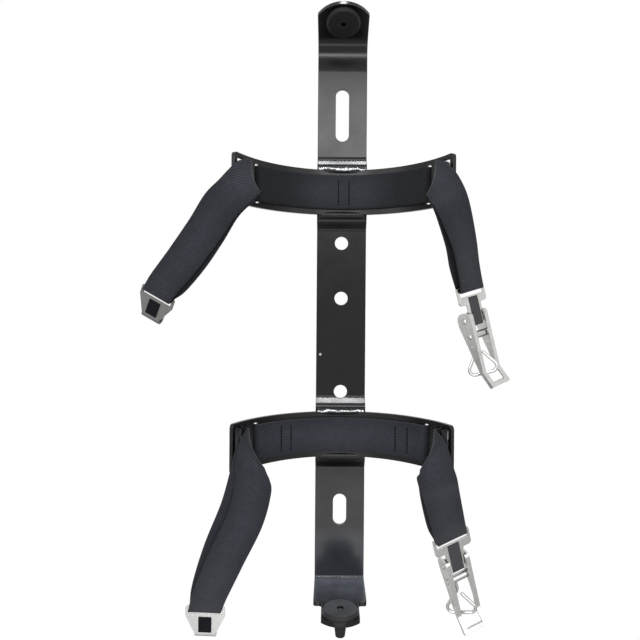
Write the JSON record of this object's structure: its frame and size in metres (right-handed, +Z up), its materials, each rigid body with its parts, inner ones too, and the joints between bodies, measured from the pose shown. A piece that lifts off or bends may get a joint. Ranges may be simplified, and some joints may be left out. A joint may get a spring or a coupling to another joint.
{
  "type": "fire extinguisher bracket",
  "caption": "Heavy steel vehicle bracket for a fire extinguisher, with two welded cradles, rubber bumpers and two webbing slings, each with a hook plate and an over-centre latch.",
  "frame": {"origin": "on the wall face, halfway between the two outer round fixing holes", "axes": "+X to the right seen from the extinguisher's side, +Y into the wall, +Z up"},
  "size_m": [0.2817, 0.0704, 0.4809],
  "materials": {
    "painted_steel": "satin black paint",
    "painted_weld": "weld bead with worn black paint",
    "rubber": "moulded",
    "webbing": "twill-woven strap",
    "zinc_plate": "bright zinc plate",
    "zinc_pin": "bright zinc plate",
    "zinc_wire": "bright zinc plate",
    "black_pad": "plain black pad"
  },
  "bodies": {
    "bracket": {"backbone": "painted_steel", "upper_cradle": "painted_steel", "lower_cradle": "painted_steel", "upper_cradle_welds": "painted_weld", "lower_cradle_welds": "painted_weld", "top_bumper": "rubber", "bottom_bumper": "rubber", "upper_webbing": "webbing", "lower_webbing": "webbing"},
    "upper_hook": {"upper_hook_plate": "zinc_plate", "upper_hook_pad": "black_pad"},
    "upper_latch": {"upper_latch_plate": "zinc_plate", "upper_latch_pad": "black_pad"},
    "upper_latch_lever": {"upper_lever": "zinc_plate", "upper_lever_pin": "zinc_pin", "upper_bail_pin": "zinc_pin"},
    "upper_barrel": {"upper_bail_barrel": "zinc_pin"},
    "upper_wire_bail": {"upper_bail": "zinc_wire"},
    "lower_hook": {"lower_hook_plate": "zinc_plate", "lower_hook_pad": "black_pad"},
    "lower_latch": {"lower_latch_plate": "zinc_plate", "lower_latch_pad": "black_pad"},
    "lower_latch_lever": {"lower_lever": "zinc_plate", "lower_lever_pin": "zinc_pin", "lower_bail_pin": "zinc_pin"},
    "lower_barrel": {"lower_bail_barrel": "zinc_pin"},
    "lower_wire_bail": {"lower_bail": "zinc_wire"}
  },
  "joints": [
    {"name": "upper_hook_swing", "type": "hinge", "parent": "bracket", "child": "upper_hook", "pos_m": [-0.1389, -0.013, 0.0171], "axis": [0.8624, -0.2356, -0.4479], "range_deg": [-75, 3]},
    {"name": "upper_latch_swing", "type": "hinge", "parent": "bracket", "child": "upper_latch", "pos_m": [0.0961, -0.018, 0.0234], "axis": [0.7945, 0.5661, 0.2199], "range_deg": [-50, 8]},
    {"name": "upper_lever_hinge", "type": "hinge", "parent": "upper_latch", "child": "upper_latch_lever", "pos_m": [0.09961, -0.0137, -0.00032], "axis": [0.7945, 0.5661, 0.2199], "range_deg": [0, 165]},
    {"name": "upper_barrel_turn", "type": "hinge", "parent": "upper_latch_lever", "child": "upper_barrel", "pos_m": [0.10364, -0.01493, -0.01174], "axis": [0.7945, 0.5661, 0.2199], "range_deg": [-4, 8]},
    {"name": "upper_bail_swivel", "type": "hinge", "parent": "upper_barrel", "child": "upper_wire_bail", "pos_m": [0.1011, -0.01674, -0.01244], "axis": [-0.2435, -0.0349, 0.9693], "range_deg": [-60, 1]},
    {"name": "lower_hook_swing", "type": "hinge", "parent": "bracket", "child": "lower_hook", "pos_m": [-0.1023, -0.01, -0.2231], "axis": [0.9991, -0.0401, -0.0117], "range_deg": [-75, 10]},
    {"name": "lower_latch_swing", "type": "hinge", "parent": "bracket", "child": "lower_latch", "pos_m": [0.0811, -0.027, -0.1592], "axis": [0.9127, 0.2893, 0.2886], "range_deg": [-75, 8]},
    {"name": "lower_lever_hinge", "type": "hinge", "parent": "lower_latch", "child": "lower_latch_lever", "pos_m": [0.0856, -0.01876, -0.18168], "axis": [0.9127, 0.2893, 0.2886], "range_deg": [0, 165]},
    {"name": "lower_barrel_turn", "type": "hinge", "parent": "lower_latch_lever", "child": "lower_barrel", "pos_m": [0.08919, -0.01849, -0.1933], "axis": [0.9127, 0.2893, 0.2886], "range_deg": [-4, 8]},
    {"name": "lower_bail_swivel", "type": "hinge", "parent": "lower_barrel", "child": "lower_wire_bail", "pos_m": [0.08627, -0.01942, -0.19423], "axis": [-0.2447, -0.1788, 0.953], "range_deg": [-60, 1]}
  ]
}
